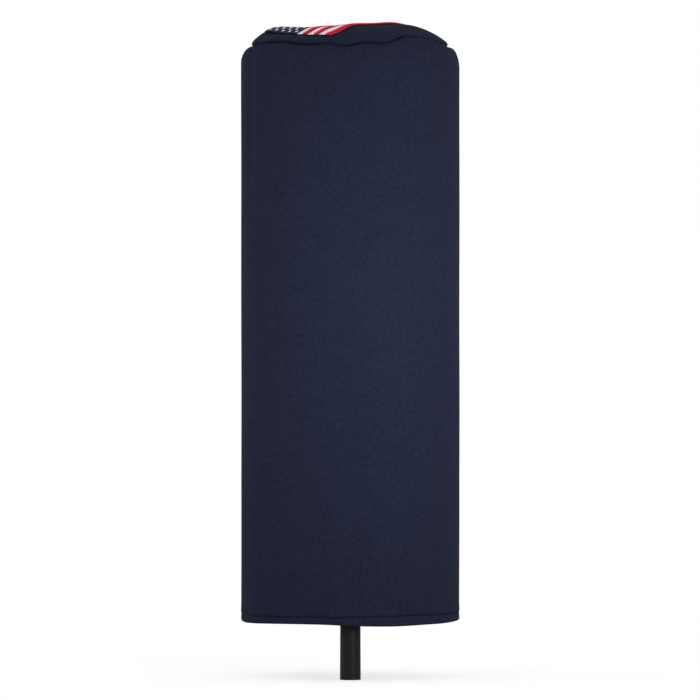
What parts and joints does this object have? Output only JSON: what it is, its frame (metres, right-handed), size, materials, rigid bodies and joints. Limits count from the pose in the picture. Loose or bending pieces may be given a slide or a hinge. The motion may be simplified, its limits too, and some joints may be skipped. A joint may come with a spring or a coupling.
{
  "type": "golf club headcover",
  "caption": "Tall padded fabric barrel sleeve with a domed, flag-patched crown, worn over a fairway wood's head and pulled off along its shaft.",
  "frame": {"origin": "on the barrel's axis, at the level of the shaft's cut end", "axes": "+Z along the barrel's axis, from the shaft's cut end to the crown; +Y from the shaft's side towards the club's toe"},
  "size_m": [0.1142, 0.1143, 0.3418],
  "materials": {
    "navy_twill": "matte navy twill with a fine diagonal rib",
    "flag_twill": "satin embroidery thread in red, white and blue",
    "binding": "matte woven bias tape",
    "thread": "navy sewing thread with a slight sheen",
    "padding": "soft off-white batting",
    "fleece": "short-pile navy fleece",
    "elastic": "ribbed black elastic",
    "label": "plain white satin label",
    "shaft_black": "matte black coated carbon fibre",
    "ferrule_black": "polished black",
    "head_steel": "brushed cast steel",
    "crown_black": "gloss black paint",
    "weight_steel": "turned steel"
  },
  "bodies": {
    "club": {"shaft": "shaft_black", "ferrule": "ferrule_black", "head_body": "head_steel", "head_crown": "crown_black", "face_plate": "head_steel", "sole_weight": "weight_steel"},
    "cover": {"barrel_shell": "navy_twill", "crown_panel": "navy_twill", "flag_patch_base": "flag_twill", "flag_patch_face": "flag_twill", "seam_binding": "binding", "back_seam_tape": "binding", "hem_topstitch": "thread", "crown_padding": "padding", "barrel_padding": "padding", "crown_lining": "fleece", "barrel_lining": "fleece", "neck_elastic": "elastic", "care_label": "label"}
  },
  "joints": [
    {"name": "cover_pull", "type": "slide", "parent": "club", "child": "cover", "axis": [0, 0, 1], "range_m": [0, 0.32], "deforming": ["barrel_lining", "neck_elastic"]}
  ]
}
